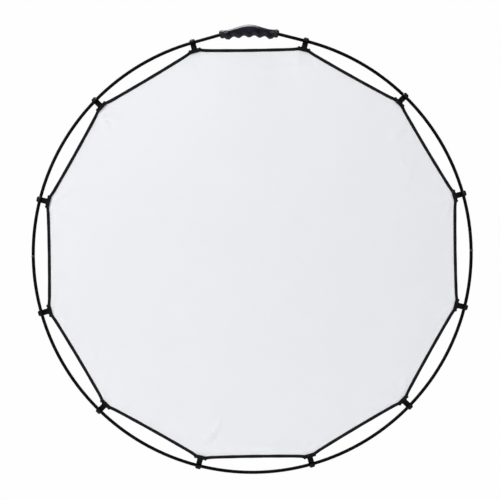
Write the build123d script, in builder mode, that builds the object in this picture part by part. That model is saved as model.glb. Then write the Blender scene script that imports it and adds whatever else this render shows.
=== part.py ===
from build123d import *
import os
from math import asin, cos, degrees, radians, sin, sqrt

# Reflector disc: a twelve-sided cloth panel clipped inside a folding tube hoop with a hand grip.
# X is to the right, Z is up through the grip, and the front of the panel faces -Y.
# The origin is the hoop's centre. Angles run from +X towards +Z. All sizes are in mm.

# Hoop
hoop_radius = 407.0  # to the tube's centreline
tube_od = 6.2
tube_id = 4.2
corner_count = 12
corner_step = 360 / corner_count
first_corner = corner_step / 2  # angle of the first clip
straight_from = 75.0  # above this angle the tube runs straight into the grip
tube_slope = 90 - straight_from  # slope of that straight run
spigot_length = 60.0
plug_radius = tube_id / 2 - 0.05

# Cloth panel and its edge binding
binding_inradius = 378.2  # to the middle of the binding
binding_width = 5.9
binding_thickness = 2.2
cloth_thickness = 0.6
cloth_tuck = 0.3  # how far short of the binding's middle the cloth's edge stops
fold_gap = 0.2  # half the gap between the two halves at the fold line
clip_clearance = 20.4  # the cloth stays this far from the tube's axis at each clip
clip_gap_half = 12.4
half_cut_width = 2.2 * hoop_radius
corner_cut_length = 4 * clip_clearance

# Clips: a jaw round the tube, a neck, and two plates that hold the cloth's corner
jaw_radius = 6.4
jaw_bore = tube_od / 2 + 0.15
jaw_length = 10.6
jaw_bevel = 2.0
mouth_width = 4.8
mouth_angle = 62.0  # from straight inwards towards the front
neck_half = 5.3
neck_end = 9.6
neck_base = 12.0  # where the neck widens into the plate
clip_half_thickness = 2.3
plate_half = 11.9
plate_shoulder = 15.0
plate_end = 19.8
plate_corner = 1.0  # cut off each of the plate's inner corners
lobe_radius = 2.6
lobe_t = 9.6
lobe_d = 14.7
rivet_radius = 1.2
rivet_t = 6.4
rivet_d = 16.2
rivet_clearance = 0.06
tab_start = 11.6

# Fold hinges, one at each end of the fold line
hinge_y = -5.3
hinge_flange = 1.4
hinge_gap = 0.1  # half the gap between the two flanges
hinge_stub = 8.0
hinge_stub_radius = tube_id / 2 - 0.15
lug_radius = 2.0
lug_root_y = 0.8  # how far across the flange each lug's root reaches
tongue_half = 0.95
fork_inner = 1.05
fork_outer = 2.3
hinge_pin_radius = 1.0
hinge_pin_head = 0.5
hinge_pin_head_radius = 1.5
hinge_pin_clearance = 0.05
tube_end_z = 1.55

# Grip
grip_end_x = 55.0
grip_arc_radius = grip_end_x / sin(radians(tube_slope))
collar_length = 8.0
collar_radius = 7.8
collar_edge = 4.2
finger_pitch = 20.3
finger_count = 5
finger_tip_depth = 12.5
finger_groove_depth = 9.0
grip_mid_half_depth = 13.0
grip_end_half_depth = 8.0
grip_top = 11.2
grip_shoulder_x = 32.7
grip_shoulder_z = 417.8
grip_edge_radius = 6.0
core_half = 4.0
core_end_x = 37.5
core_clearance = 0.1
tube_inner_x = 38.0
peg_length = 12.0
channel_radius = tube_od / 2 + 0.05
screw_x = 22.0
screw_radius = 1.5
screw_head_radius = 2.8
screw_head_height = 2.0
screw_seat_y = 9.0
screw_tip_y = -7.6
screw_clearance = 0.08
screw_head_clearance = 0.3
screw_end_gap = 0.4
shell_end_low = 8.4  # the shells' slanted ends, below and above the tube's line
shell_end_high = 7.0
shell_drop = 20.0  # the blank that is cut to the grip's plan shape starts this far down
shell_blank = 50.0
round_margin = 0.1
round_reach = 1.2  # the rounding runs past both ends of the grip
cut_margin = 1.0

# Worked out from the above
straight_start_x = hoop_radius * cos(radians(straight_from))
straight_start_z = hoop_radius * sin(radians(straight_from))
slope_cos = cos(radians(tube_slope))
slope_sin = sin(radians(tube_slope))
grip_end_z = straight_start_z + (straight_start_x - grip_end_x) * slope_sin / slope_cos
grip_centre_z = grip_end_z - grip_arc_radius * slope_cos
tube_end_angle = degrees(asin(tube_end_z / hoop_radius))
clip_angles = [first_corner + corner_step * i for i in range(corner_count)]

os.makedirs("parts", exist_ok=True)


def tube_line_point(side, x):
    """A point (X, Z) on the straight run of the tube, on the right (1) or the left (-1)."""
    return (side * x, grip_end_z + (grip_end_x - x) * slope_sin / slope_cos)


def tube_plane(side, x):
    """A plane square to the straight run at a given x, its normal pointing away from the grip."""
    px, pz = tube_line_point(side, x)
    return Plane(origin=(px, 0, pz), x_dir=(0, 1, 0), z_dir=(side * slope_cos, 0, -slope_sin))


def tube_section(line):
    """The ring section of the tube, drawn at the start of its path."""
    with BuildSketch(Plane(origin=line @ 0, x_dir=(0, 1, 0), z_dir=line % 0)) as section:
        Circle(tube_od / 2)
        Circle(tube_id / 2, mode=Mode.SUBTRACT)
    return section.sketch


# ---------------------------------------------------------------- hoop tubes
def make_tube_upper(name, side):
    start = tube_end_angle if side > 0 else 180 - tube_end_angle
    with BuildPart() as tube:
        with BuildLine(Plane.XZ) as path:
            arc = CenterArc((0, 0), hoop_radius, start, side * (straight_from - tube_end_angle))
            end_x, end_z = tube_line_point(side, tube_inner_x)
            Line(arc @ 1, (end_x, end_z))
        sweep(tube_section(path.line), path=path.line)
    tube.part.label = name
    export_step(tube.part, f"parts/{name}.step")


def make_tube_lower(name, side):
    start = -tube_end_angle if side > 0 else 180 + tube_end_angle
    with BuildPart() as tube:
        with BuildLine(Plane.XZ) as path:
            CenterArc((0, 0), hoop_radius, start, -side * (90 - tube_end_angle))
        sweep(tube_section(path.line), path=path.line)
    tube.part.label = name
    export_step(tube.part, f"parts/{name}.step")


make_tube_upper("tube_upper_right", 1)
make_tube_upper("tube_upper_left", -1)
make_tube_lower("tube_lower_right", 1)
make_tube_lower("tube_lower_left", -1)

spigot_angle = degrees(spigot_length / hoop_radius)
with BuildPart() as bottom_spigot:
    with BuildLine(Plane.XZ) as spigot_path:
        CenterArc((0, 0), hoop_radius, 270 - spigot_angle / 2, spigot_angle)
    with BuildSketch(Plane(origin=spigot_path.line @ 0, z_dir=spigot_path.line % 0)):
        Circle(plug_radius)
    sweep(path=spigot_path.line)
bottom_spigot.part.label = "bottom_spigot"
export_step(bottom_spigot.part, "parts/bottom_spigot.step")


# ---------------------------------------------------------------- fold hinges
def hinge_half(name, centre_x, up, layers):
    """One leaf of a fold hinge: a flange on the tube's end, a stub in its bore, and its lugs."""
    with BuildPart() as leaf:
        with BuildSketch(Plane.XY.offset(up * hinge_gap)):
            with Locations((centre_x, 0)):
                Circle(tube_od / 2)
        extrude(amount=up * hinge_flange)
        with BuildSketch(Plane.XY.offset(up * (hinge_gap + hinge_flange))):
            with Locations((centre_x, 0)):
                Circle(hinge_stub_radius)
        extrude(amount=up * hinge_stub)
        for low, high in layers:
            with BuildSketch(Plane.YZ.offset(centre_x + low)):
                with Locations((hinge_y, 0)):
                    Circle(lug_radius)
                Polygon(
                    (hinge_y, up * hinge_gap),
                    (hinge_y, up * lug_radius),
                    (-tube_od / 2, up * (hinge_gap + hinge_flange)),
                    (lug_root_y, up * (hinge_gap + hinge_flange)),
                    (lug_root_y, up * hinge_gap),
                    align=None,
                )
                with Locations((hinge_y, 0)):
                    Circle(hinge_pin_radius + hinge_pin_clearance, mode=Mode.SUBTRACT)
            extrude(amount=high - low)
    leaf.part.label = name
    export_step(leaf.part, f"parts/{name}.step")


def make_hinge(side_name, centre_x):
    fork = [(-fork_outer, -fork_inner), (fork_inner, fork_outer)]
    tongue = [(-tongue_half, tongue_half)]
    hinge_half(f"hinge_{side_name}_upper", centre_x, 1, fork)
    hinge_half(f"hinge_{side_name}_lower", centre_x, -1, tongue)
    name = f"hinge_{side_name}_pin"
    with BuildPart() as pin:
        with BuildSketch(Plane.YZ.offset(centre_x - fork_outer)):
            with Locations((hinge_y, 0)):
                Circle(hinge_pin_radius)
        extrude(amount=2 * fork_outer)
        for face_x in (centre_x - fork_outer - hinge_pin_head, centre_x + fork_outer):
            with BuildSketch(Plane.YZ.offset(face_x)):
                with Locations((hinge_y, 0)):
                    Circle(hinge_pin_head_radius)
            extrude(amount=hinge_pin_head)
    pin.part.label = name
    export_step(pin.part, f"parts/{name}.step")


make_hinge("right", hoop_radius)
make_hinge("left", -hoop_radius)


# ---------------------------------------------------------------- cloth panel and binding
def make_panel(name, up):
    with BuildPart() as panel:
        with BuildSketch(Plane.XZ.offset(-cloth_thickness / 2)):
            RegularPolygon(binding_inradius - cloth_tuck, corner_count, major_radius=False,
                           rotation=first_corner)
            with Locations((0, -up * (hoop_radius - fold_gap))):
                Rectangle(half_cut_width, 2 * hoop_radius, mode=Mode.SUBTRACT)
            with PolarLocations(hoop_radius, corner_count, start_angle=first_corner):
                Rectangle(2 * clip_clearance, 2 * clip_gap_half, mode=Mode.SUBTRACT)
        extrude(amount=cloth_thickness)
    panel.part.label = name
    export_step(panel.part, f"parts/{name}.step")


def make_binding(name, up):
    with BuildPart() as binding:
        with BuildSketch(Plane.XZ.offset(-binding_thickness / 2)):
            RegularPolygon(binding_inradius + binding_width / 2, corner_count,
                           major_radius=False, rotation=first_corner)
            RegularPolygon(binding_inradius - binding_width / 2, corner_count,
                           major_radius=False, rotation=first_corner, mode=Mode.SUBTRACT)
            with Locations((0, -up * (hoop_radius - fold_gap))):
                Rectangle(half_cut_width, 2 * hoop_radius, mode=Mode.SUBTRACT)
            with PolarLocations(hoop_radius, corner_count, start_angle=first_corner):
                Rectangle(corner_cut_length, 2 * clip_gap_half, mode=Mode.SUBTRACT)
        extrude(amount=binding_thickness)
        with BuildSketch(Plane.XZ.offset(-cloth_thickness / 2)):
            RegularPolygon(binding_inradius - cloth_tuck, corner_count, major_radius=False,
                           rotation=first_corner)
        extrude(amount=cloth_thickness, mode=Mode.SUBTRACT)
    binding.part.label = name
    export_step(binding.part, f"parts/{name}.step")


make_panel("panel_upper", 1)
make_panel("panel_lower", -1)
make_binding("binding_upper", 1)
make_binding("binding_lower", -1)


# ---------------------------------------------------------------- clips
def clip_plate_sketch(plane):
    """The plate's outline: a neck end, two wings with a lobe each, and a straight inner edge."""
    with BuildSketch(plane) as outline:
        Polygon(
            (-neck_half, neck_end),
            (-neck_half, neck_base),
            (-plate_half, plate_shoulder),
            (-plate_half, plate_end - plate_corner),
            (-plate_half + plate_corner, plate_end),
            (plate_half - plate_corner, plate_end),
            (plate_half, plate_end - plate_corner),
            (plate_half, plate_shoulder),
            (neck_half, neck_base),
            (neck_half, neck_end),
            align=None,
        )
        with Locations((-lobe_t, lobe_d), (lobe_t, lobe_d)):
            Circle(lobe_radius)
    return outline.sketch


def clip_planes(angle):
    """The plane square to the tube (x inwards, y to the front) and the face plane (y inwards)."""
    c = cos(radians(angle))
    s = sin(radians(angle))
    origin = (hoop_radius * c, 0, hoop_radius * s)
    square = Plane(origin=origin, x_dir=(-c, 0, -s), z_dir=(-s, 0, c))
    face = Plane(origin=origin, x_dir=(-s, 0, c), z_dir=(0, -1, 0))
    return square, face


def make_clip(number, angle):
    square, face = clip_planes(angle)
    rivets = [(-rivet_t, rivet_d), (rivet_t, rivet_d)]
    half_cloth = cloth_thickness / 2

    name = f"clip_{number:02d}_hook"
    with BuildPart() as hook:
        with BuildSketch(square.offset(-jaw_length / 2)):
            Circle(jaw_radius)
        extrude(amount=jaw_length)
        chamfer(hook.edges().filter_by(GeomType.CIRCLE), length=jaw_bevel)
        with BuildSketch(face.offset(-clip_half_thickness)):
            with Locations((0, (jaw_radius - jaw_bevel + neck_end) / 2)):
                Rectangle(2 * neck_half, neck_end - jaw_radius + jaw_bevel)
        extrude(amount=2 * clip_half_thickness)
        with BuildSketch(square.offset(-jaw_length)):
            Circle(jaw_bore)
            with Locations(Location((0, 0), mouth_angle)):
                with Locations((jaw_radius, 0)):
                    Rectangle(2 * jaw_radius, mouth_width)
        extrude(amount=2 * jaw_length, mode=Mode.SUBTRACT)
        extrude(clip_plate_sketch(face.offset(half_cloth)), amount=clip_half_thickness - half_cloth)
        with BuildSketch(face.offset(-clip_half_thickness)):
            with Locations(*rivets):
                Circle(rivet_radius)
        extrude(amount=clip_half_thickness + half_cloth)
    hook.part.label = name
    export_step(hook.part, f"parts/{name}.step")

    name = f"clip_{number:02d}_backplate"
    with BuildPart() as backplate:
        plate = clip_plate_sketch(face.offset(-clip_half_thickness))
        extrude(plate, amount=clip_half_thickness - half_cloth)
        with BuildSketch(face.offset(-clip_half_thickness)):
            with Locations(*rivets):
                Circle(rivet_radius + rivet_clearance)
        extrude(amount=clip_half_thickness, mode=Mode.SUBTRACT)
    backplate.part.label = name
    export_step(backplate.part, f"parts/{name}.step")

    name = f"corner_tab_{number:02d}"
    with BuildPart() as corner_tab:
        with BuildSketch(face.offset(-half_cloth)):
            Polygon(
                (-neck_half, tab_start),
                (-plate_half + plate_corner, plate_shoulder),
                (-plate_half + plate_corner, plate_end),
                (plate_half - plate_corner, plate_end),
                (plate_half - plate_corner, plate_shoulder),
                (neck_half, tab_start),
                align=None,
            )
            with Locations(*rivets):
                Circle(rivet_radius + rivet_clearance, mode=Mode.SUBTRACT)
        extrude(amount=cloth_thickness)
    corner_tab.part.label = name
    export_step(corner_tab.part, f"parts/{name}.step")


for clip_index, clip_angle in enumerate(clip_angles):
    make_clip(clip_index + 1, clip_angle)


# ---------------------------------------------------------------- grip
def arc_point(offset, along):
    """A point (X, Z) beside the grip's centreline: offset outwards, along it from the middle."""
    angle = along / grip_arc_radius
    radius = grip_arc_radius + offset
    return (radius * sin(angle), grip_centre_z + radius * cos(angle))


def grip_end_point(side, offset):
    """A point (X, Z) on the slanted end of the shells, offset outwards from the tube's line."""
    x, z = tube_line_point(side, grip_end_x - collar_length * slope_cos)
    return (x + side * offset * slope_sin, z + offset * slope_cos)


def finger_points():
    """The underside, from left to right: ridges and the grooves between them."""
    steps = 2 * finger_count - 1
    points = []
    for i in range(steps):
        along = (i - (steps - 1) / 2) * finger_pitch / 2
        depth = finger_tip_depth if i % 2 == 0 else finger_groove_depth
        points.append(arc_point(-depth, along))
    return points


screw_z = grip_centre_z + sqrt(grip_arc_radius**2 - screw_x**2)
screw_places = [(-screw_x, screw_z), (screw_x, screw_z)]
grip_axis = Axis((0, 0, grip_centre_z), (0, 1, 0))


def core_sketch(plane, margin):
    """The core bar's outline, grown by a margin for the pocket that holds it."""
    half_angle = degrees(asin(core_end_x / grip_arc_radius)) + degrees(margin / grip_arc_radius)
    with BuildSketch(plane) as outline:
        with BuildLine():
            top = CenterArc((0, grip_centre_z), grip_arc_radius + core_half + margin,
                            90 - half_angle, 2 * half_angle)
            low = CenterArc((0, grip_centre_z), grip_arc_radius - core_half - margin,
                            90 - half_angle, 2 * half_angle)
            Line(top @ 0, low @ 0)
            Line(top @ 1, low @ 1)
        make_face()
    return outline.sketch


with BuildPart() as grip_core:
    extrude(core_sketch(Plane.XZ.offset(-core_half), 0), amount=2 * core_half)
    for end_side in (1, -1):
        with BuildSketch(tube_plane(end_side, core_end_x - core_half)):
            Circle(plug_radius)
        extrude(amount=core_half + peg_length)
    with BuildSketch(Plane.XZ.offset(-core_half)):
        with Locations(*screw_places):
            Circle(screw_radius + screw_clearance)
    extrude(amount=2 * core_half, mode=Mode.SUBTRACT)
grip_core.part.label = "grip_core"
export_step(grip_core.part, "parts/grip_core.step")


def make_grip_shell(name, keep):
    with BuildPart() as shell:
        with BuildSketch(Plane.XZ.offset(-grip_mid_half_depth)):
            with BuildLine():
                low_left = grip_end_point(-1, -shell_end_low)
                low_right = grip_end_point(1, -shell_end_low)
                top_left = grip_end_point(-1, shell_end_high)
                top_right = grip_end_point(1, shell_end_high)
                under = Spline(low_left, *finger_points(), low_right)
                over = Spline(
                    top_left,
                    (-grip_shoulder_x, grip_shoulder_z),
                    (0, grip_centre_z + grip_arc_radius + grip_top),
                    (grip_shoulder_x, grip_shoulder_z),
                    top_right,
                )
                Line(under @ 0, over @ 0)
                Line(under @ 1, over @ 1)
            make_face()
        extrude(amount=2 * grip_mid_half_depth)
        with BuildSketch(Plane.XY.offset(grip_end_z - shell_drop)):
            with BuildLine():
                front = ThreePointArc((-grip_end_x, -grip_end_half_depth), (0, -grip_mid_half_depth),
                                      (grip_end_x, -grip_end_half_depth))
                back = ThreePointArc((-grip_end_x, grip_end_half_depth), (0, grip_mid_half_depth),
                                     (grip_end_x, grip_end_half_depth))
                Line(front @ 0, back @ 0)
                Line(front @ 1, back @ 1)
            make_face()
        extrude(amount=shell_blank, mode=Mode.INTERSECT)
        tilt = round_reach * tube_slope
        round_plane = Plane(origin=(0, 0, grip_centre_z), x_dir=(0, 1, 0),
                            z_dir=(cos(radians(tilt)), 0, sin(radians(tilt))))
        with BuildSketch(round_plane):
            with Locations((0, grip_arc_radius + (grip_top - finger_tip_depth) / 2)):
                RectangleRounded(2 * (grip_mid_half_depth + round_margin),
                                 grip_top + finger_tip_depth + 2 * round_margin, grip_edge_radius)
        revolve(axis=grip_axis, revolution_arc=2 * tilt, mode=Mode.INTERSECT)
        pocket = core_sketch(Plane.XZ.offset(-core_half - core_clearance), core_clearance)
        extrude(pocket, amount=2 * (core_half + core_clearance), mode=Mode.SUBTRACT)
        for end_side in (1, -1):
            with BuildSketch(tube_plane(end_side, core_end_x - core_half)):
                Circle(channel_radius)
            extrude(amount=2 * collar_length + core_half, mode=Mode.SUBTRACT)
        with BuildSketch(Plane.XZ.offset(-grip_mid_half_depth - cut_margin)):
            with Locations(*screw_places):
                Circle(screw_radius + screw_clearance)
        hole_depth = grip_mid_half_depth + cut_margin - screw_tip_y + screw_end_gap
        extrude(amount=hole_depth, mode=Mode.SUBTRACT)
        with BuildSketch(Plane.XZ.offset(-grip_mid_half_depth - cut_margin)):
            with Locations(*screw_places):
                Circle(screw_head_radius + screw_head_clearance)
        extrude(amount=grip_mid_half_depth + cut_margin - screw_seat_y, mode=Mode.SUBTRACT)
        split(bisect_by=Plane.XZ, keep=keep)
    shell.part.label = name
    export_step(shell.part, f"parts/{name}.step")


make_grip_shell("grip_front_shell", Keep.TOP)
make_grip_shell("grip_back_shell", Keep.BOTTOM)

with BuildPart() as grip_screws:
    with BuildSketch(Plane.XZ.offset(-screw_seat_y)):
        with Locations(*screw_places):
            Circle(screw_radius)
    extrude(amount=screw_seat_y - screw_tip_y)
    with BuildSketch(Plane.XZ.offset(-screw_seat_y)):
        with Locations(*screw_places):
            Circle(screw_head_radius)
    extrude(amount=-screw_head_height)
    with BuildSketch(Plane.XZ.offset(-screw_seat_y - screw_head_height)):
        with Locations(*screw_places):
            RegularPolygon(screw_head_radius / 2, 6)
    extrude(amount=screw_head_height / 2, mode=Mode.SUBTRACT)
grip_screws.part.label = "grip_screws"
export_step(grip_screws.part, "parts/grip_screws.step")


def make_collar(name, side):
    with BuildPart() as collar:
        with BuildSketch(tube_plane(side, grip_end_x - collar_length * slope_cos)):
            Circle(collar_radius)
        extrude(amount=collar_length)
        rim = collar.edges().filter_by(GeomType.CIRCLE).sort_by(Axis.X)[-1 if side > 0 else 0]
        fillet(rim, radius=collar_edge)
        with BuildSketch(tube_plane(side, grip_end_x - collar_length * slope_cos)):
            Circle(channel_radius)
        extrude(amount=collar_length, mode=Mode.SUBTRACT)
    collar.part.label = name
    export_step(collar.part, f"parts/{name}.step")


make_collar("collar_right", 1)
make_collar("collar_left", -1)
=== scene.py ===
import math

import bmesh
import bpy
from mathutils import Matrix, Vector


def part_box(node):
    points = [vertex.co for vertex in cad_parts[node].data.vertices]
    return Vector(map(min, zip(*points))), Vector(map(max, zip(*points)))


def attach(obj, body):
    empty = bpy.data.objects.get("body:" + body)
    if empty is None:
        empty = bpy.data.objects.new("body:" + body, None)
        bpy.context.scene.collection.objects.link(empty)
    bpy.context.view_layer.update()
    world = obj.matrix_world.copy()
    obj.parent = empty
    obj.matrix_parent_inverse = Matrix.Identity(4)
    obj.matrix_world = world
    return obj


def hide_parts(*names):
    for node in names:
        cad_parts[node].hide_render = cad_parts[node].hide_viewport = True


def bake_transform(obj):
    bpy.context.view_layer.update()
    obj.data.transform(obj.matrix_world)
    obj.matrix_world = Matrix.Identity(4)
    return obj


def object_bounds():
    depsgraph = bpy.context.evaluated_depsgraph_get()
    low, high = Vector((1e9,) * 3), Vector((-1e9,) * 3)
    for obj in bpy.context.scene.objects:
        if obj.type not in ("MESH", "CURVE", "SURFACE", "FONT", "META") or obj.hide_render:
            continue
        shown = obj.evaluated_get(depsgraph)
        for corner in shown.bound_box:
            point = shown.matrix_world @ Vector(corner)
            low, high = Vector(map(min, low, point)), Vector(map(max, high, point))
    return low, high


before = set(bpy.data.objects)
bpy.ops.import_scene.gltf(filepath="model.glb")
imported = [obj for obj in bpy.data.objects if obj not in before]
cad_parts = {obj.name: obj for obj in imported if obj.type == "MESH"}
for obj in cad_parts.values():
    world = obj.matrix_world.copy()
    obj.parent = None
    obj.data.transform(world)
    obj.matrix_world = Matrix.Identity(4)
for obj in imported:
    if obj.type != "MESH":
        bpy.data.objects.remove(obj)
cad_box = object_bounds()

SIDES = 12
STEP = 2 * math.pi / SIDES
FIRST = STEP / 2  # angle of clip 1, from +X towards +Z
MM = 0.001

# From the frame
hoop_low, hoop_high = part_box("tube_lower_right")
TUBE_R = (hoop_high.y - hoop_low.y) / 2
HOOP_R = hoop_high.x - TUBE_R
panel_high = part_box("panel_upper")[1]
binding_low, binding_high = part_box("binding_upper")
CLOTH_TUCK = 0.3 * MM  # how far short of the binding's middle the panel's edge stops
BINDING_HALF = binding_high.x - panel_high.x - CLOTH_TUCK
BINDING_R = binding_high.x - BINDING_HALF
BINDING_THICK = binding_high.y - binding_low.y
shell_low, shell_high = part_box("grip_front_shell")
GRIP_TOP = shell_high.z
GRIP_HALF_DEPTH = -shell_low.y

# Cloth. The first three are measured inwards from the hoop's centreline.
CORNER_START = 36 * MM  # to where the corner pieces begin
PLATE_DEPTH = 20 * MM  # to the inner edge of the clips' plates
CORNER_CUT = HOOP_R - CORNER_START
PLATE_EDGE = HOOP_R - PLATE_DEPTH
CORNER_COLUMNS = 24
MID_COLUMNS = 16
RINGS = 56
CORNER_ROWS = 7
SIDE_BOW = 0.9 * MM  # how far a side bows in at its middle
SIDE_RISE = 1.2 * MM  # how far it comes out again towards the clips
SIDE_FLARE = 1.2 * MM  # and how much further it flares beside them
RISE_AT = 95 * MM  # the rise is reached this far from the side's middle
FLARE_FROM = 78 * MM
FLARE_TO = 100 * MM
EDGE_STOP = 1 * MM  # the corner pieces' edge stops this far before the corner's point
MERGE_WITHIN = 0.02 * MM
CREASE_SCALE = 1.7  # deepens every crease in the list below
CREASE_WANDER = 2.2  # in mm, how far a crease strays from its straight line
CREASE_WANDER_RUN = 17  # in mm, over which it strays
CREASE_FADE = 8  # in mm, over which its ends die away
CORNER_FOLD_HEIGHT = 0.8 * MM
CORNER_FOLD_REACH = 200 * MM
CORNER_FOLD_APEX = 1 * MM  # the folds fan out from this far outside the plate's inner edge
CORNER_FOLD_FROM = 3 * MM  # from the apex to where they begin
CORNER_FOLD_FULL = 26 * MM  # and to where they stop growing
CORNER_FOLD_FADE = 36 * MM
BILLOW = 2.0 * MM
SWELL = 0.5 * MM
PUCKER = 0.22 * MM
PUCKER_FROM = 3 * MM  # inwards from the binding's middle line
PUCKER_FULL = 9 * MM
PUCKER_FADE = 13 * MM
PUCKER_QUIET_FROM = 60 * MM  # along the side from its middle
PUCKER_QUIET_TO = 90 * MM
PUCKER_RUN = 5.2 * MM
PUCKER_LONG_RUN = 11 * MM


def clamp(value, low=0.0, high=1.0):
    return max(low, min(high, value))


def smooth(edge0, edge1, value):
    t = clamp((value - edge0) / (edge1 - edge0))
    return t * t * (3 - 2 * t)


# ------------------------------------------------------------------ materials
def new_material(name):
    made = bpy.data.materials.new(name)
    made.use_nodes = True
    tree = made.node_tree
    tree.nodes.clear()
    output = tree.nodes.new("ShaderNodeOutputMaterial")
    shader = tree.nodes.new("ShaderNodeBsdfPrincipled")
    tree.links.new(shader.outputs["BSDF"], output.inputs["Surface"])
    return made, tree, shader, output


def object_coords(tree):
    return tree.nodes.new("ShaderNodeTexCoord").outputs["Object"]


def noise(tree, scale, detail=3.0, roughness=0.55, stretch=None):
    node = tree.nodes.new("ShaderNodeTexNoise")
    node.inputs["Scale"].default_value = scale
    node.inputs["Detail"].default_value = detail
    node.inputs["Roughness"].default_value = roughness
    source = object_coords(tree)
    if stretch:
        mapping = tree.nodes.new("ShaderNodeMapping")
        mapping.inputs["Scale"].default_value = stretch
        tree.links.new(source, mapping.inputs["Vector"])
        source = mapping.outputs["Vector"]
    tree.links.new(source, node.inputs["Vector"])
    return node.outputs["Fac"]


def ramp(tree, source, low, high, low_at=0.3, high_at=0.7):
    node = tree.nodes.new("ShaderNodeValToRGB")
    node.color_ramp.elements[0].position = low_at
    node.color_ramp.elements[1].position = high_at
    node.color_ramp.elements[0].color = (*low, 1)
    node.color_ramp.elements[1].color = (*high, 1)
    tree.links.new(source, node.inputs["Fac"])
    return node.outputs["Color"]


def span(tree, source, low, high):
    node = tree.nodes.new("ShaderNodeMapRange")
    node.inputs["To Min"].default_value = low
    node.inputs["To Max"].default_value = high
    tree.links.new(source, node.inputs["Value"])
    return node.outputs["Result"]


def maths(tree, kind, a, b):
    node = tree.nodes.new("ShaderNodeMath")
    node.operation = kind
    for slot, value in ((0, a), (1, b)):
        if isinstance(value, (int, float)):
            node.inputs[slot].default_value = value
        else:
            tree.links.new(value, node.inputs[slot])
    return node.outputs["Value"]


def bump(tree, shader, height, distance, strength=1.0, below=None):
    node = tree.nodes.new("ShaderNodeBump")
    node.inputs["Distance"].default_value = distance
    node.inputs["Strength"].default_value = strength
    tree.links.new(height, node.inputs["Height"])
    if below is not None:
        tree.links.new(below, node.inputs["Normal"])
    tree.links.new(node.outputs["Normal"], shader.inputs["Normal"])
    return node.outputs["Normal"]


def threads(tree, axis, pitch):
    """A row of rounded threads across one axis, 0 between them and 1 on top."""
    split = tree.nodes.new("ShaderNodeSeparateXYZ")
    tree.links.new(object_coords(tree), split.inputs["Vector"])
    wave = maths(tree, "SINE", maths(tree, "MULTIPLY", split.outputs[axis], 2 * math.pi / pitch), 0)
    return maths(tree, "ADD", maths(tree, "MULTIPLY", wave, 0.5), 0.5)


def moulded_plastic(name, dark, light, rough, grain, grain_depth, wear=0.0, gloss=0.5):
    """Black moulded plastic: fine grain, faint flow mottling, and paler rubbed edges."""
    made, tree, shader, _ = new_material(name)
    mottled = ramp(tree, noise(tree, 90, 4), dark, light)
    if wear:
        geometry = tree.nodes.new("ShaderNodeNewGeometry")
        edge = ramp(tree, geometry.outputs["Pointiness"], (0, 0, 0), (1, 1, 1), 0.51, 0.60)
        mixer = tree.nodes.new("ShaderNodeMix")
        mixer.data_type = "RGBA"
        amount = maths(tree, "MULTIPLY", edge, wear)
        tree.links.new(amount, mixer.inputs["Factor"])
        tree.links.new(mottled, mixer.inputs["A"])
        mixer.inputs["B"].default_value = (*[3.2 * c for c in light], 1)
        mottled = mixer.outputs["Result"]
    tree.links.new(mottled, shader.inputs["Base Color"])
    tree.links.new(span(tree, noise(tree, 260, 3), *rough), shader.inputs["Roughness"])
    coarse = bump(tree, shader, noise(tree, 60, 2), 0.25 * MM, 0.25)
    bump(tree, shader, noise(tree, grain, 5, 0.7), grain_depth, 0.6, coarse)
    shader.inputs["Specular IOR Level"].default_value = gloss
    return made


def anodised_tube(name):
    """Black anodised tube: satin, with a fine bumpy grain and a few paler rubs."""
    made, tree, shader, _ = new_material(name)
    rub = ramp(tree, noise(tree, 38, 6, 0.7), (0.0006, 0.0006, 0.0008), (0.0035, 0.0035, 0.0042), 0.42, 0.78)
    tree.links.new(rub, shader.inputs["Base Color"])
    shader.inputs["Specular IOR Level"].default_value = 0.05
    tree.links.new(span(tree, noise(tree, 500, 4), 0.30, 0.48), shader.inputs["Roughness"])
    bump(tree, shader, noise(tree, 900, 3), 0.03 * MM, 0.5)
    return made


def steel(name, colour):
    made, tree, shader, _ = new_material(name)
    tree.links.new(ramp(tree, noise(tree, 400, 4), [0.8 * c for c in colour], colour),
                   shader.inputs["Base Color"])
    shader.inputs["Metallic"].default_value = 1.0
    tree.links.new(span(tree, noise(tree, 1500, 3), 0.28, 0.5), shader.inputs["Roughness"])
    bump(tree, shader, noise(tree, 2200, 2), 0.02 * MM, 0.5)
    return made


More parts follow.
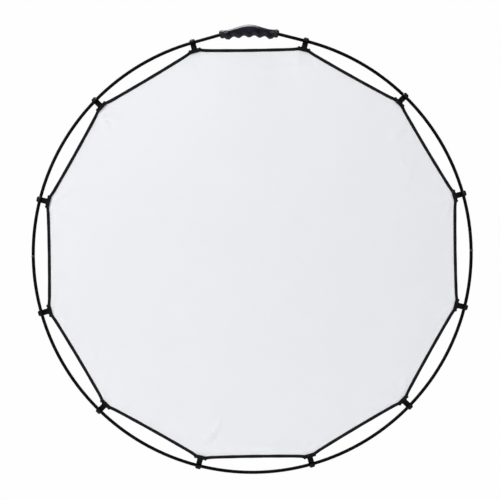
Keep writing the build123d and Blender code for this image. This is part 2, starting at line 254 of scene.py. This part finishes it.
def white_cloth(name):
    """Close plain weave, matt and a little translucent, with slubs and faint uneven dye."""
    made, tree, shader, output = new_material(name)
    tone = ramp(tree, noise(tree, 7, 5, 0.6), (0.806, 0.812, 0.846), (0.818, 0.824, 0.858), 0.3, 0.7)
    slub = noise(tree, 420, 3, 0.6, (1.0, 1.0, 7.0))
    slub_across = noise(tree, 420, 3, 0.6, (7.0, 1.0, 1.0))
    shade = span(tree, maths(tree, "MULTIPLY", slub, slub_across), 0.95, 1.05)
    mixer = tree.nodes.new("ShaderNodeVectorMath")
    mixer.operation = "SCALE"
    tree.links.new(tone, mixer.inputs[0])
    tree.links.new(shade, mixer.inputs["Scale"])
    tree.links.new(mixer.outputs["Vector"], shader.inputs["Base Color"])
    tree.links.new(span(tree, noise(tree, 300, 3), 0.72, 0.9), shader.inputs["Roughness"])
    shader.inputs["Sheen Weight"].default_value = 0.12
    shader.inputs["Sheen Roughness"].default_value = 0.5
    shader.inputs["Specular IOR Level"].default_value = 0.2
    weave = maths(tree, "MAXIMUM", threads(tree, "X", 0.6 * MM), threads(tree, "Z", 0.6 * MM))
    crinkle = bump(tree, shader, noise(tree, 55, 4, 0.6), 0.35 * MM, 0.04)
    normal = bump(tree, shader, weave, 0.06 * MM, 0.6, crinkle)
    through = tree.nodes.new("ShaderNodeBsdfTranslucent")
    tree.links.new(mixer.outputs["Vector"], through.inputs["Color"])
    tree.links.new(normal, through.inputs["Normal"])
    blend = tree.nodes.new("ShaderNodeMixShader")
    blend.inputs["Fac"].default_value = 0.14
    tree.links.new(shader.outputs["BSDF"], blend.inputs[1])
    tree.links.new(through.outputs["BSDF"], blend.inputs[2])
    tree.links.new(blend.outputs["Shader"], output.inputs["Surface"])
    return made


def woven_tape(name):
    """Black woven tape: cross ribs, matt, with a dusting of paler fibre."""
    made, tree, shader, _ = new_material(name)
    tree.links.new(ramp(tree, noise(tree, 700, 4, 0.7), (0.002, 0.002, 0.0025), (0.007, 0.007, 0.008)),
                   shader.inputs["Base Color"])
    shader.inputs["Roughness"].default_value = 0.82
    shader.inputs["Specular IOR Level"].default_value = 0.12
    shader.inputs["Sheen Weight"].default_value = 0.02
    weave = maths(tree, "MULTIPLY", threads(tree, "X", 0.9 * MM), threads(tree, "Z", 0.9 * MM))
    bump(tree, shader, weave, 0.15 * MM, 0.6)
    return made


def sewing_thread(name):
    made, tree, shader, _ = new_material(name)
    tree.links.new(ramp(tree, noise(tree, 1500, 3), (0.006, 0.006, 0.007), (0.014, 0.014, 0.016)),
                   shader.inputs["Base Color"])
    shader.inputs["Roughness"].default_value = 0.55
    bump(tree, shader, noise(tree, 2600, 2), 0.05 * MM, 0.6)
    return made


def pale_floor(name):
    made, tree, shader, _ = new_material(name)
    tree.links.new(ramp(tree, noise(tree, 3, 3), (0.80, 0.80, 0.80), (0.84, 0.84, 0.84)),
                   shader.inputs["Base Color"])
    shader.inputs["Roughness"].default_value = 0.75
    return made


tube_material = anodised_tube("hoop_tube")
clip_material = moulded_plastic(
    "clip_plastic", dark=(0.0005, 0.0005, 0.0006), light=(0.0045, 0.0045, 0.005),
    rough=(0.32, 0.46), grain=1400, grain_depth=0.04 * MM, wear=0.40, gloss=0.08)
collar_material = moulded_plastic(
    "collar_plastic", dark=(0.002, 0.002, 0.0022), light=(0.014, 0.014, 0.015),
    rough=(0.28, 0.42), grain=1400, grain_depth=0.04 * MM, wear=0.3, gloss=0.16)
grip_material = moulded_plastic(
    "grip_plastic", dark=(0.0006, 0.0005, 0.0014), light=(0.0165, 0.0150, 0.0240),
    rough=(0.22, 0.34), grain=900, grain_depth=0.10 * MM, wear=0.35, gloss=0.20)
core_material = moulded_plastic(
    "core_plastic", dark=(0.02, 0.02, 0.021), light=(0.035, 0.035, 0.036),
    rough=(0.45, 0.6), grain=900, grain_depth=0.06 * MM)
hinge_material = steel("hinge_steel", (0.06, 0.06, 0.063))
screw_material = steel("screw_steel", (0.55, 0.55, 0.56))
cloth_material = white_cloth("white_cloth")
tape_material = woven_tape("binding_tape")
thread_material = sewing_thread("sewing_thread")
floor_material = pale_floor("floor")

NODE_MATERIALS = {
    "tube": tube_material,
    "bottom": tube_material,
    "clip": clip_material,
    "corner": cloth_material,
    "collar": collar_material,
    "hinge": hinge_material,
    "grip_core": core_material,
    "grip_screws": screw_material,
}


def dress_cad_nodes():
    for name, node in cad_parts.items():
        key = name if name in NODE_MATERIALS else name.split("_")[0]
        if key in NODE_MATERIALS:
            node.data.materials.clear()
            node.data.materials.append(NODE_MATERIALS[key])


# ------------------------------------------------------------------ meshes
def mesh_object(name, points, faces, materials, face_slots=None):
    data = bpy.data.meshes.new(name)
    data.from_pydata([tuple(p) for p in points], [], faces)
    for one in materials:
        data.materials.append(one)
    if face_slots:
        data.polygons.foreach_set("material_index", face_slots)
    data.update()
    data.shade_smooth()
    made = bpy.data.objects.new(name, data)
    bpy.context.scene.collection.objects.link(made)
    return made


def side_reach(along):
    """Distance from the centre to the binding's middle line, at a place along one side."""
    u = abs(along)
    bow = -SIDE_BOW + SIDE_RISE * (u / RISE_AT) ** 2
    flare = SIDE_FLARE * smooth(FLARE_FROM, FLARE_TO, u)
    return BINDING_R + bow + flare


def side_point(side, along, inset=0.0, y=0.0):
    """A point by the panel's edge. Side k lies between clips k and k+1."""
    mid = FIRST + (side + 0.5) * STEP
    reach = side_reach(along) - inset
    return Vector((
        reach * math.cos(mid) - along * math.sin(mid),
        y,
        reach * math.sin(mid) + along * math.cos(mid),
    ))


def ray_at(place):
    """The direction from the centre to clip place + 1, or with place + 0.5 to the next side's middle."""
    angle = FIRST + place * STEP
    return Vector((math.cos(angle), 0, math.sin(angle)))


def cut_along():
    """How far along a side from its middle the corner piece begins."""
    low, high = 0.0, BINDING_R * math.tan(STEP / 2)
    for _ in range(40):
        middle = (low + high) / 2
        reached = side_reach(middle) * math.cos(STEP / 2) + middle * math.sin(STEP / 2)
        if reached < CORNER_CUT:
            low = middle
        else:
            high = middle
    return low


CUT = cut_along()
HALF_SIDE = BINDING_R * math.tan(STEP / 2)

# Creases, listed one by one: start x and z, end x and z, depth and width, in mm. The first four are after
# those at the photo's bottom left. The next seven stand near faint streaks that it shows at the top right
# and right. The last three, at the left, are guesses, and the first of them lies mostly off the cloth.
CREASES = [
    (-96, -352, -62, -310, 1.0, 5),
    (-84, -356, -70, -334, -0.7, 4),
    (-100, -366, 30, -368, 0.9, 5),
    (-40, -361, 92, -364, -0.6, 5),
    (20, 340, 95, 356, 0.8, 7),
    (36, 322, 88, 338, -0.7, 7),
    (52, 296, 80, 308, 0.6, 8),
    (70, 352, 120, 345, 0.7, 5),
    (265, 214, 282, 232, 0.9, 6),
    (276, 180, 292, 150, 0.7, 6),
    (286, 120, 300, 176, 0.6, 5),
    (-352, 205, -330, 166, 0.5, 7),
    (-276, 250, -248, 262, 0.6, 6),
    (-300, -168, -292, -196, 0.5, 6),
]


def crease_height(x, z):
    total = 0.0
    for x0, z0, x1, z1, depth, width in CREASES:
        px, pz = x / MM - x0, z / MM - z0
        dx, dz = x1 - x0, z1 - z0
        length = math.hypot(dx, dz)
        along = (px * dx + pz * dz) / length
        across = (pz * dx - px * dz) / length + CREASE_WANDER * math.sin(along / CREASE_WANDER_RUN)
        ends = smooth(-CREASE_FADE, CREASE_FADE, along) * smooth(-CREASE_FADE, CREASE_FADE, length - along)
        total += CREASE_SCALE * depth * MM * ends * math.exp(-((across / width) ** 2))
    return total


def corner_folds(x, z):
    """Small folds that fan out from each clip, where the cloth is pulled."""
    total = 0.0
    for corner in range(SIDES):
        ray = ray_at(corner)
        apex = ray * (PLATE_EDGE + CORNER_FOLD_APEX)
        dx, dz = x - apex.x, z - apex.z
        away = math.hypot(dx, dz)
        if away > CORNER_FOLD_REACH:
            continue
        inward = -(dx * ray.x + dz * ray.z)
        across = dx * ray.z - dz * ray.x
        fan = math.atan2(across, max(inward, 1e-6))
        phase = 1.7 * corner + 0.9 * math.sin(2.3 * corner)
        strength = 0.75 + 0.5 * math.sin(5.1 * corner + 0.6)
        rise = smooth(CORNER_FOLD_FROM, CORNER_FOLD_FULL, away) * math.exp(-away / CORNER_FOLD_FADE)
        waves = math.sin(8.5 * fan + phase) + 0.5 * math.sin(15 * fan - 1.3 * phase)
        total += CORNER_FOLD_HEIGHT * strength * rise * waves
    return total


def slack(x, z):
    """The broad, very shallow billow of a panel that is held at twelve points."""
    away = math.hypot(x, z) / BINDING_R
    bowl = BILLOW * (1 - away**2)
    swell = SWELL * math.sin(9 * x + 0.7) * math.sin(8 * z + 1.9)
    return (bowl + swell) * clamp(1 - away) ** 0.5


def edge_ripple(x, z):
    """Puckers along the sewn edge."""
    angle = math.atan2(z, x)
    side = math.floor((angle - FIRST) / STEP)
    mid = FIRST + (side + 0.5) * STEP
    reach = x * math.cos(mid) + z * math.sin(mid)
    along = -x * math.sin(mid) + z * math.cos(mid)
    inset = BINDING_R - reach
    near = smooth(PUCKER_FROM, PUCKER_FULL, inset) * math.exp(-inset / PUCKER_FADE)
    quiet = 1 - smooth(PUCKER_QUIET_FROM, PUCKER_QUIET_TO, abs(along))
    wave = math.sin(along / PUCKER_RUN + side) + 0.6 * math.sin(along / PUCKER_LONG_RUN + 2 * side)
    return PUCKER * near * quiet * wave


def cloth_height(x, z):
    return -(slack(x, z) + crease_height(x, z) + corner_folds(x, z) + edge_ripple(x, z))


def cloth_point(x, z):
    return Vector((x, cloth_height(x, z), z))


def cloth_on(p):
    """A point moved straight forwards or back onto the cloth."""
    return cloth_point(p.x, p.z)


def cloth_normal(x, z):
    step = 0.5 * MM
    dx = (cloth_height(x + step, z) - cloth_height(x - step, z)) / (2 * step)
    dz = (cloth_height(x, z + step) - cloth_height(x, z - step)) / (2 * step)
    return Vector((dx, -1, dz)).normalized()


def true_normals(piece):
    """The shading follows the one surface that all cloth pieces lie on, so their joins don't show."""
    data = piece.data
    data.normals_split_custom_set_from_vertices([cloth_normal(v.co.x, v.co.z) for v in data.vertices])


def corner_base(corner, share):
    """A point on the straight cut between the main cloth and a corner piece."""
    start = side_point(corner - 1, CUT)
    end = side_point(corner, -CUT)
    return start.lerp(end, share)


def main_outline():
    """The main cloth's edge: each corner cut, then the middle of the next side."""
    outline = []
    for k in range(SIDES):
        for i in range(CORNER_COLUMNS):
            outline.append(corner_base(k, i / CORNER_COLUMNS))
        for i in range(MID_COLUMNS):
            outline.append(side_point(k, -CUT + 2 * CUT * i / MID_COLUMNS))
    return outline


def make_main_cloth():
    outline = main_outline()
    count = len(outline)
    points = [cloth_point(0, 0)]
    for ring in range(1, RINGS + 1):
        share = ring / RINGS
        points += [cloth_point(p.x * share, p.z * share) for p in outline]
    faces = [(0, 1 + i, 1 + (i + 1) % count) for i in range(count)]
    for ring in range(RINGS - 1):
        base = 1 + ring * count
        for i in range(count):
            j = (i + 1) % count
            faces.append((base + i, base + count + i, base + count + j, base + j))
    piece = mesh_object("cloth_panel", points, faces, [cloth_material])
    true_normals(piece)
    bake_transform(piece)
    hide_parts("panel_upper", "panel_lower")
    return piece


def corner_edge(corner, share):
    """The cloth's edge round one corner, from the cut on one side to the cut on the next."""
    reach = HALF_SIDE - EDGE_STOP
    if share < 0.5:
        return side_point(corner - 1, CUT + (reach - CUT) * share * 2)
    return side_point(corner, -reach + (reach - CUT) * (share - 0.5) * 2)


def make_corner_cloth(corner):
    points, faces = [], []
    for row in range(CORNER_ROWS + 1):
        for i in range(CORNER_COLUMNS + 1):
            share = i / CORNER_COLUMNS
            p = corner_base(corner, share).lerp(corner_edge(corner, share), row / CORNER_ROWS)
            points.append(cloth_on(p))
    width = CORNER_COLUMNS + 1
    for row in range(CORNER_ROWS):
        for i in range(CORNER_COLUMNS):
            a = row * width + i
            quad = [a, a + width, a + width + 1, a + 1]
            if i == 0:
                quad = [a, a + width + 1, a + 1]
            if i == CORNER_COLUMNS - 1:
                quad = [a, a + width, a + 1]
            faces.append(tuple(quad))
    piece = mesh_object(f"cloth_corner_{corner + 1:02d}", points, faces, [cloth_material])
    merge_close(piece)
    true_normals(piece)
    blend_to_clip(piece)
    return piece


def merge_close(piece):
    work = bmesh.new()
    work.from_mesh(piece.data)
    bmesh.ops.remove_doubles(work, verts=work.verts, dist=MERGE_WITHIN)
    work.to_mesh(piece.data)
    work.free()


def blend_to_clip(piece):
    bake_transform(piece)


# ------------------------------------------------------------------ binding
TAPE_SECTION = 20
SIDE_TAPE_STEP = 1.5 * MM  # finer than the step round the corners
CORNER_TAPE_STEP = 4 * MM
TAPE_UNEVEN = 0.03  # how much its width varies
TAPE_UNEVEN_RUN = 7 * MM
TAPE_TURN = 7 * MM  # the tape starts to turn this far from the corner
TAPE_TIP = 0.5 * MM  # the turn is drawn towards a tip this far inside the corner
TURN_STEPS = 6
STITCH_PITCH = 3.4 * MM
STITCH_GAP = 0.4 * MM  # at each end of a stitch
STITCH_INSET = 1.5 * MM  # inwards from the tape's middle line
STITCH_STOP = 14 * MM  # the stitches end this far from the corner
STITCH_STEPS = 5
THREAD_HALF = 0.28 * MM
THREAD_LIFT = 0.22 * MM
TAPE_FACE = 0.96  # the stitches lie at this share of the tape's half thickness
SHARP_TAPE = math.radians(60)
FOLD_SIDES = (SIDES // 2 - 1, SIDES - 1)  # the two sides that the fold line crosses


def tape_ring(centre, outward, half_width, half_thick):
    """The tape's section: flat with rounded edges, folded over the cloth's edge."""
    ring = []
    for i in range(TAPE_SECTION):
        a = 2 * math.pi * i / TAPE_SECTION
        cosine, sine = math.cos(a), math.sin(a)
        across = math.copysign(abs(cosine) ** 0.75, cosine) * half_width
        deep = math.copysign(abs(sine) ** 0.6, sine) * half_thick
        ring.append(centre + outward * across + Vector((0, deep, 0)))
    return ring


def add_tube(rings, points, faces, slots):
    start = len(points)
    size = len(rings[0])
    for ring in rings:
        points.extend(ring)
    for r in range(len(rings) - 1):
        for i in range(size):
            j = (i + 1) % size
            a = start + r * size
            faces.append((a + i, a + size + i, a + size + j, a + j))
            slots.append(0)
    faces.append(tuple(start + i for i in range(size)))
    faces.append(tuple(start + (len(rings) - 1) * size + i for i in reversed(range(size))))
    slots.extend([0, 0])


def add_stitch(a, b, outward, face, points, faces, slots):
    """One stitch of thread: a low, round-topped dash lying on the tape."""
    start = len(points)
    along = (b - a).normalized()
    for i in range(STITCH_STEPS):
        t = i / (STITCH_STEPS - 1)
        swell = math.sin(math.pi * (0.12 + 0.76 * t))
        centre = a.lerp(b, t)
        for across, lift in ((-1, -0.3), (-0.7, 0.7), (0.7, 0.7), (1, -0.3)):
            points.append(centre + outward * (THREAD_HALF * swell * across)
                          + Vector((0, face * THREAD_LIFT * swell * lift, 0)))
    for i in range(STITCH_STEPS - 1):
        for j in range(4):
            k = (j + 1) % 4
            quad = (start + 4 * i + j, start + 4 * i + k, start + 4 * i + 4 + k, start + 4 * i + 4 + j)
            faces.append(quad if face * along.cross(outward).y < 0 else tuple(reversed(quad)))
            slots.append(1)
    for base in (start, start + 4 * (STITCH_STEPS - 1)):
        faces.append((base, base + 1, base + 2, base + 3))
        slots.append(1)


def tape_path(low, high, step=CORNER_TAPE_STEP):
    count = max(2, round((high - low) / step))
    return [low + (high - low) * i / count for i in range(count + 1)]


def tape_rings(side, places):
    outward = ray_at(side + 0.5)
    rings = []
    for along in places:
        p = side_point(side, along)
        uneven = 1 + TAPE_UNEVEN * math.sin(along / TAPE_UNEVEN_RUN + side)
        rings.append(tape_ring(cloth_on(p), outward, BINDING_HALF * uneven, BINDING_THICK / 2))
    return rings


def add_stitches(side, low, high, points, faces, slots):
    outward = ray_at(side + 0.5)
    for n in range(math.ceil(low / STITCH_PITCH), math.floor(high / STITCH_PITCH)):
        a = side_point(side, n * STITCH_PITCH + STITCH_GAP, STITCH_INSET)
        b = side_point(side, (n + 1) * STITCH_PITCH - STITCH_GAP, STITCH_INSET)
        for face in (-1, 1):
            lift = Vector((0, face * TAPE_FACE * BINDING_THICK / 2, 0))
            add_stitch(cloth_on(a) + lift, cloth_on(b) + lift, outward, face, points, faces, slots)


def make_side_binding(side):
    points, faces, slots = [], [], []
    add_tube(tape_rings(side, tape_path(-CUT, CUT, SIDE_TAPE_STEP)), points, faces, slots)
    add_stitches(side, -CUT, CUT, points, faces, slots)
    piece = mesh_object(f"binding_side_{side + 1:02d}", points, faces,
                        [tape_material, thread_material], slots)
    piece.data.set_sharp_from_angle(angle=SHARP_TAPE)
    if side in FOLD_SIDES:
        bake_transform(piece)
    else:
        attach(piece, "upper" if side < FOLD_SIDES[0] else "lower")
    return piece


def make_corner_binding(corner):
    points, faces, slots = [], [], []
    turn_at = HALF_SIDE - TAPE_TURN
    before = tape_rings(corner - 1, tape_path(CUT, turn_at))
    after = tape_rings(corner, tape_path(-turn_at, -CUT))
    ray = ray_at(corner)
    start, end = side_point(corner - 1, turn_at), side_point(corner, -turn_at)
    tip = side_point(corner, -HALF_SIDE + TAPE_TIP)
    tip = ray * tip.dot(ray)
    turn = []
    for i in range(1, TURN_STEPS):
        t = i / TURN_STEPS
        p = start * (1 - t) ** 2 + tip * (2 * t * (1 - t)) + end * t**2
        turn.append(tape_ring(cloth_on(p), ray_at(corner - 0.5 + t), BINDING_HALF, BINDING_THICK / 2))
    add_tube(before + turn + after, points, faces, slots)
    add_stitches(corner - 1, CUT, HALF_SIDE - STITCH_STOP, points, faces, slots)
    add_stitches(corner, -HALF_SIDE + STITCH_STOP, -CUT, points, faces, slots)
    piece = mesh_object(f"binding_corner_{corner + 1:02d}", points, faces,
                        [tape_material, thread_material], slots)
    piece.data.set_sharp_from_angle(angle=SHARP_TAPE)
    blend_to_clip(piece)
    return piece


def make_panel():
    panel = make_main_cloth()
    corners = [make_corner_cloth(k) for k in range(SIDES)]
    bindings = [make_side_binding(k) for k in range(SIDES)]
    bindings += [make_corner_binding(k) for k in range(SIDES)]
    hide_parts("binding_upper", "binding_lower")
    for k, corner in enumerate(corners):
        edge = [corner_base(k, 1.0), corner_base(k, 0.0)]
        edge += [corner_edge(k, i / CORNER_COLUMNS) for i in range(CORNER_COLUMNS + 1)]


# ------------------------------------------------------------------ grip
GRIP_STATIONS = 221
GRIP_ROUND = 56
GRIP_REACH = shell_high.x * 0.996  # along the grip's curve, to just short of the CAD shell's ends
collar_low, collar_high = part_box("collar_right")
COLLAR_R = (collar_high.y - collar_low.y) / 2
screws_low, screws_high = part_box("grip_screws")
SCREW_HEAD_R = (screws_high.z - screws_low.z) / 2
SCREW_X = screws_high.x - SCREW_HEAD_R
SCREW_Z = (screws_high.z + screws_low.z) / 2
SLOPE = STEP / 2  # the hoop's tubes run straight into the grip at this slope
STRAIGHT_FROM = 5 * SLOPE  # above this angle the tubes leave the hoop's circle
GRIP_END = 55 * MM  # from the grip's middle to where the tubes enter
GRIP_HALF = 50 * MM  # the length over which the grip's outline tapers
ARC_R = GRIP_END / math.sin(SLOPE)
END_Z = (HOOP_R * math.sin(STRAIGHT_FROM)
         + (HOOP_R * math.cos(STRAIGHT_FROM) - GRIP_END) * math.tan(SLOPE))
ARC_Z = END_Z - ARC_R * math.cos(SLOPE)
FINGER_PITCH = 20.3 * MM
SHOULDER = 5.6 * MM  # the grip's height above its centreline beside the collars
GROOVE = 8.9 * MM  # its depth below the centreline in the grooves
GROOVE_TAPER = 0.4 * MM
RIDGE = 12.5 * MM  # and at the ridges
GROOVE_WAIST = 1.5 * MM  # how far its front and back draw in at the grooves
SEAM_WIDTH = 0.5 * MM
SEAM_DEPTH = 0.35 * MM
SEAM_GAP = 0.04 * MM  # between the two covers, each side of the parting line
SEAM_SHARE_OF = 10 * MM  # the seam's depth is taken off as a share of this
END_INSET_TOP = 0.9 * MM  # how far the grip's ends stay inside the collars at the top,
END_INSET_LOW = 0.3 * MM  # underneath,
END_INSET_DEEP = 0.2 * MM  # and at the front and back
SHARP_GRIP = math.radians(50)
SHARP_WELL = math.radians(40)
WELL_CLEARANCE = 0.3 * MM
WELL_DEPTH = 12 * MM
SCREW_HEAD_HEIGHT = 2.2 * MM


def end_share(s, start=0.80):
    """0 along the grip, rising to 1 at its two ends, where it meets the collars."""
    return smooth(start, 1.0, abs(s) / GRIP_REACH)


def mix(a, b, share):
    return a + (b - a) * share


def grip_up(s):
    """How far the grip stands above its centreline, at a place along it."""
    u = abs(s) / GRIP_HALF
    roof = GRIP_TOP - ARC_Z - ARC_R
    up = SHOULDER + (roof - SHOULDER) * (1 - smooth(0.0, 0.76, u))
    return mix(up, COLLAR_R - END_INSET_TOP, end_share(s))


def finger_wave(s):
    """1 on the five ridges under the grip, 0 in the grooves between them."""
    wave = 0.5 + 0.5 * math.cos(2 * math.pi * s / FINGER_PITCH)
    inside = 1 - smooth(2.0 * FINGER_PITCH, 2.2 * FINGER_PITCH, abs(s))
    return mix(0.7, wave, inside)


def grip_down(s):
    u = abs(s) / GRIP_HALF
    groove = GROOVE - GROOVE_TAPER * u
    down = groove + (RIDGE - groove) * finger_wave(s)
    return mix(down, COLLAR_R - END_INSET_LOW, end_share(s, 0.91))


def grip_depth(s, a):
    """Half depth of the grip, at a place along it and an angle round it (0 is straight up)."""
    u = abs(s) / GRIP_HALF
    depth = GRIP_HALF_DEPTH * (1 - 0.36 * u**2.2)
    low = smooth(0.25, -0.55, math.cos(a))
    depth -= GROOVE_WAIST * low * (1 - finger_wave(s)) * (1 - smooth(0.85, 1.0, u))
    return mix(depth, COLLAR_R - END_INSET_DEEP, end_share(s))


def grip_ring(s, half):
    """Half a section, from the top of the parting line to its bottom. half is -1 front, 1 back."""
    angle = s / ARC_R
    out = Vector((math.sin(angle), 0, math.cos(angle)))
    centre = Vector((0, 0, ARC_Z)) + out * ARC_R
    power = mix(0.74, 0.98, end_share(s))
    ring = []
    for i in range(GRIP_ROUND + 1):
        a = math.pi * i / GRIP_ROUND
        cosine, sine = math.cos(a), math.sin(a)
        tall = grip_up(s) if cosine > 0 else grip_down(s)
        rise = math.copysign(abs(cosine) ** power, cosine) * tall
        deep = abs(sine) ** power * grip_depth(s, a)
        seam = math.exp(-((deep / SEAM_WIDTH) ** 2)) * SEAM_DEPTH
        shrink = 1 - seam / SEAM_SHARE_OF
        ring.append(centre + out * (rise * shrink)
                    + Vector((0, half * max(deep * shrink, SEAM_GAP), 0)))
    return ring


def make_grip_cover(name, half, node):
    points, faces = [], []
    width = GRIP_ROUND + 1
    for i in range(GRIP_STATIONS):
        points += grip_ring(mix(-GRIP_REACH, GRIP_REACH, i / (GRIP_STATIONS - 1)), half)
    for i in range(GRIP_STATIONS - 1):
        for j in range(GRIP_ROUND):
            a = i * width + j
            faces.append((a, a + 1, a + width + 1, a + width))
        top, low = i * width, i * width + GRIP_ROUND
        faces.append((top, top + width, low + width, low))
    last = (GRIP_STATIONS - 1) * width
    faces.append(tuple(range(width)))
    faces.append(tuple(last + j for j in reversed(range(width))))
    piece = mesh_object(name, points, faces, [grip_material])
    outward_faces(piece)
    if half > 0:
        cut_screw_wells(piece)
    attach(piece, "upper")
    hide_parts(node)


def cut_screw_wells(piece):
    """Round wells in the back cover, down to the seats of the two screws' heads."""
    seat = screws_high.y - SCREW_HEAD_HEIGHT
    for side in (-1, 1):
        bpy.ops.mesh.primitive_cylinder_add(
            vertices=48, radius=SCREW_HEAD_R + WELL_CLEARANCE, depth=WELL_DEPTH,
            location=(side * SCREW_X, seat + WELL_DEPTH / 2, SCREW_Z), rotation=(math.pi / 2, 0, 0))
        tool = bpy.context.object
        cut = piece.modifiers.new("well", "BOOLEAN")
        cut.operation = "DIFFERENCE"
        cut.object = tool
        bpy.context.view_layer.objects.active = piece
        bpy.ops.object.modifier_apply(modifier=cut.name)
        bpy.data.objects.remove(tool)
    piece.data.set_sharp_from_angle(angle=SHARP_WELL)


def outward_faces(piece):
    work = bmesh.new()
    work.from_mesh(piece.data)
    bmesh.ops.recalc_face_normals(work, faces=work.faces)
    work.to_mesh(piece.data)
    work.free()
    piece.data.shade_smooth()
    piece.data.set_sharp_from_angle(angle=SHARP_GRIP)


# ------------------------------------------------------------------ stage, light and camera
CAMERA_AWAY = 5.2
VIEW_WIDTH = 0.9294  # metres across the picture at the disc
CAMERA_ROLL = math.radians(0.8)
CAMERA_X = -0.0040
CAMERA_Z = 0.0063
SENSOR = 36  # in the camera's own millimetres
FLOOR_R = 1.3
FLOOR_DROP = 0.3  # the hand-held disc hangs this far above the floor
BACKDROP = (0.99, 0.99, 0.99, 1)
ROOM_LIGHT = (0.97, 0.98, 1.0, 1)
ROOM_STRENGTH = 0.20


def make_stage():
    bpy.ops.mesh.primitive_circle_add(vertices=128, radius=FLOOR_R, fill_type="NGON",
                                      location=(0, 0, cad_box[0].z - FLOOR_DROP))
    floor = bpy.context.object
    floor.name = "floor"
    floor.data.materials.append(floor_material)


def area_light(name, place, target, size, power, tint=(1, 1, 1)):
    data = bpy.data.lights.new(name, "AREA")
    data.shape = "DISK"
    data.size = size
    data.energy = power
    data.color = tint
    lamp = bpy.data.objects.new(name, data)
    lamp.location = place
    lamp.rotation_euler = (Vector(target) - Vector(place)).to_track_quat("-Z", "Y").to_euler()
    lamp.visible_camera = False
    bpy.context.scene.collection.objects.link(lamp)


def make_light():
    world = bpy.data.worlds.new("studio")
    bpy.context.scene.world = world
    world.use_nodes = True
    tree = world.node_tree
    tree.nodes.clear()
    output = tree.nodes.new("ShaderNodeOutputWorld")
    seen = tree.nodes.new("ShaderNodeBackground")
    seen.inputs["Color"].default_value = BACKDROP
    lit = tree.nodes.new("ShaderNodeBackground")
    lit.inputs["Color"].default_value = ROOM_LIGHT
    lit.inputs["Strength"].default_value = ROOM_STRENGTH
    rays = tree.nodes.new("ShaderNodeLightPath")
    chosen = tree.nodes.new("ShaderNodeMixShader")
    tree.links.new(rays.outputs["Is Camera Ray"], chosen.inputs["Fac"])
    tree.links.new(lit.outputs["Background"], chosen.inputs[1])
    tree.links.new(seen.outputs["Background"], chosen.inputs[2])
    tree.links.new(chosen.outputs["Shader"], output.inputs["Surface"])
    area_light("key", (-2.0, -2.0, 1.3), target=(0, 0, 0.1), size=1.3, power=71,
               tint=(1.0, 0.995, 0.985))
    area_light("top", (-0.15, 0.22, 1.45), target=(0, 0, 0.42), size=0.8, power=38)
    area_light("fill", (2.2, -2.6, 1.0), target=(0, 0, 0), size=1.6, power=47)


def make_camera():
    data = bpy.data.cameras.new("camera")
    data.sensor_width = SENSOR
    data.lens = SENSOR * CAMERA_AWAY / VIEW_WIDTH
    camera = bpy.data.objects.new("camera", data)
    camera.rotation_mode = "QUATERNION"
    facing = Vector((0, 1, 0)).to_track_quat("-Z", "Y").to_matrix()
    rolled = facing @ Matrix.Rotation(-CAMERA_ROLL, 3, "Z")
    camera.rotation_quaternion = rolled.to_quaternion()
    camera.location = (CAMERA_X, -CAMERA_AWAY, CAMERA_Z)
    data.clip_start, data.clip_end = 0.05, 60
    bpy.context.scene.collection.objects.link(camera)
    bpy.context.scene.camera = camera


bpy.context.scene.view_settings.view_transform = "Standard"
make_stage()
make_light()
make_camera()
dress_cad_nodes()
make_panel()
make_grip_cover("grip_front_cover", -1, "grip_front_shell")
make_grip_cover("grip_back_cover", 1, "grip_back_shell")
